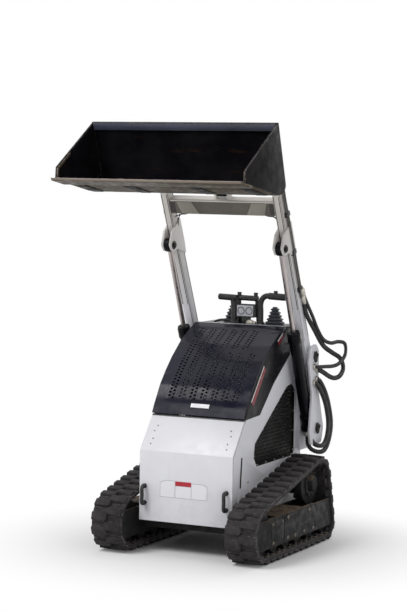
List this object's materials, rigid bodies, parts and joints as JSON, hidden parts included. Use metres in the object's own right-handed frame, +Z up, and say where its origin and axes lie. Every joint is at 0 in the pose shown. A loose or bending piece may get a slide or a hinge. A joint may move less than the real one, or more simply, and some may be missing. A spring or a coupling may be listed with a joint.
{
  "type": "compact track loader",
  "caption": "Stand-on compact track loader with raised twin lift arms, bucket, opening engine covers and folding operator platform.",
  "frame": {"origin": "centre of the whole machine's box, at ground level under the tracks", "axes": "-Y is forwards, +X is the machine's left, +Z is up"},
  "size_m": [1.138, 1.9154, 2.422],
  "materials": {
    "white_paint": "satin white paint, dusty at the edges",
    "black_paint": "semi-gloss black paint",
    "black_mesh": "matt black perforated sheet",
    "dark_steel": "black paint under dry mud",
    "bucket_steel": "worn black paint",
    "worn_edge": "scraped bare steel",
    "engine_grey": "cast grey",
    "track_rubber": "dusty moulded rubber",
    "boot_rubber": "soft dark rubber",
    "hose_rubber": "black hose cover",
    "grip_black": "moulded black",
    "gauge_grey": "grey face in a black case",
    "chrome_rod": "ground and plated",
    "plated_cap": "yellow zinc plate",
    "pin_steel": "dark greased steel"
  },
  "bodies": {
    "chassis": {"chassis_tub": "dark_steel", "engine_block": "engine_grey", "rear_panel": "white_paint", "control_deck": "black_paint", "left_side_panel": "white_paint", "right_side_panel": "white_paint", "left_side_skirt": "black_paint", "right_side_skirt": "black_paint", "left_side_grille": "black_mesh", "right_side_grille": "black_mesh", "left_tower": "white_paint", "right_tower": "white_paint", "left_lever_boot": "boot_rubber", "right_lever_boot": "boot_rubber", "left_control_handle": "grip_black", "right_control_handle": "grip_black", "cross_handle": "grip_black", "gauge_box": "gauge_grey", "fuel_cap": "plated_cap", "left_track_belt": "track_rubber", "right_track_belt": "track_rubber", "left_track_frame": "dark_steel", "right_track_frame": "dark_steel", "left_drive_sprocket": "dark_steel", "right_drive_sprocket": "dark_steel", "left_front_idler": "dark_steel", "right_front_idler": "dark_steel", "left_lift_hose": "hose_rubber", "right_lift_hose": "hose_rubber", "left_arm_hose": "hose_rubber", "right_arm_hose": "hose_rubber"},
    "hood": {"hood": "black_paint"},
    "front_door": {"front_door": "white_paint", "left_door_handle": "grip_black", "right_door_handle": "grip_black"},
    "platform": {"operator_platform": "dark_steel"},
    "lift_arm": {"left_lift_arm": "white_paint", "right_lift_arm": "white_paint", "arm_crossmember": "white_paint"},
    "hitch_level": {"left_hitch_pin": "pin_steel", "right_hitch_pin": "pin_steel"},
    "bucket": {"bucket_shell": "bucket_steel", "cutting_edge": "worn_edge", "hitch_plate": "dark_steel"},
    "left_lift_barrel": {"left_lift_barrel": "black_paint"},
    "left_lift_rod": {"left_lift_rod": "chrome_rod"},
    "right_lift_barrel": {"right_lift_barrel": "black_paint"},
    "right_lift_rod": {"right_lift_rod": "chrome_rod"},
    "tilt_barrel": {"tilt_barrel": "black_paint"},
    "tilt_rod": {"tilt_rod": "chrome_rod"},
    "tilt_clevis": {"tilt_clevis": "chrome_rod"}
  },
  "joints": [
    {"name": "arm_lift", "type": "hinge", "parent": "chassis", "child": "lift_arm", "pos_m": [0, 0.44367, 1.08], "axis": [-1, 0, 0], "range_deg": [-92, 0], "deforming": ["left_arm_hose", "right_arm_hose", "left_lift_hose", "right_lift_hose"]},
    {"name": "bucket_tilt", "type": "hinge", "parent": "hitch_level", "child": "bucket", "pos_m": [0, -0.36933, 2.235], "axis": [1, 0, 0], "range_deg": [-20, 50]},
    {"name": "hood_lift", "type": "hinge", "parent": "chassis", "child": "hood", "pos_m": [0, 0.28567, 1.266], "axis": [-1, 0, 0], "range_deg": [0, 50]},
    {"name": "front_door_swing", "type": "hinge", "parent": "chassis", "child": "front_door", "pos_m": [0, -0.25933, 0.768], "axis": [-1, 0, 0], "range_deg": [0, 85]},
    {"name": "platform_fold", "type": "hinge", "parent": "chassis", "child": "platform", "pos_m": [0, 0.58567, 0.236], "axis": [1, 0, 0], "range_deg": [0, 88]},
    {"name": "left_barrel_turn", "type": "hinge", "parent": "chassis", "child": "left_lift_barrel", "pos_m": [0.354, 0.49067, 0.655], "axis": [-1, 0, 0], "range_deg": [-67.5, 0]},
    {"name": "left_rod_slide", "type": "slide", "parent": "left_lift_barrel", "child": "left_lift_rod", "axis": [0, -0.3849, 0.9229], "range_m": [-0.482, 0]},
    {"name": "right_barrel_turn", "type": "hinge", "parent": "chassis", "child": "right_lift_barrel", "pos_m": [-0.354, 0.49067, 0.655], "axis": [-1, 0, 0], "range_deg": [-67.5, 0]},
    {"name": "right_rod_slide", "type": "slide", "parent": "right_lift_barrel", "child": "right_lift_rod", "axis": [0, -0.3849, 0.9229], "range_m": [-0.482, 0]},
    {"name": "self_level", "type": "hinge", "parent": "lift_arm", "child": "hitch_level", "pos_m": [0, -0.36933, 2.235], "axis": [1, 0, 0], "range_deg": [-92, 0]},
    {"name": "tilt_barrel_turn", "type": "hinge", "parent": "lift_arm", "child": "tilt_barrel", "pos_m": [0, 0.00702, 2.03604], "axis": [1, 0, 0], "range_deg": [0, 8.7]},
    {"name": "tilt_rod_slide", "type": "slide", "parent": "tilt_barrel", "child": "tilt_rod", "axis": [0, -0.7786, 0.6275], "range_m": [-0.112, 0]},
    {"name": "tilt_clevis_slide", "type": "slide", "parent": "tilt_rod", "child": "tilt_clevis", "axis": [0, -0.7786, 0.6275], "range_m": [-0.022, 0.054]}
  ],
  "couplings": [
    {"joint": "left_barrel_turn", "follows": "arm_lift", "ratio": 0.7277},
    {"joint": "left_rod_slide", "follows": "arm_lift", "m_per_rad": 0.29974},
    {"joint": "right_barrel_turn", "follows": "arm_lift", "ratio": 0.7277},
    {"joint": "right_rod_slide", "follows": "arm_lift", "m_per_rad": 0.29974},
    {"joint": "self_level", "follows": "arm_lift", "ratio": 1},
    {"joint": "tilt_barrel_turn", "follows": "arm_lift", "ratio": -0.0935},
    {"joint": "tilt_rod_slide", "follows": "arm_lift", "m_per_rad": 0.0694},
    {"joint": "tilt_clevis_slide", "follows": "bucket_tilt", "m_per_rad": 0.061}
  ]
}
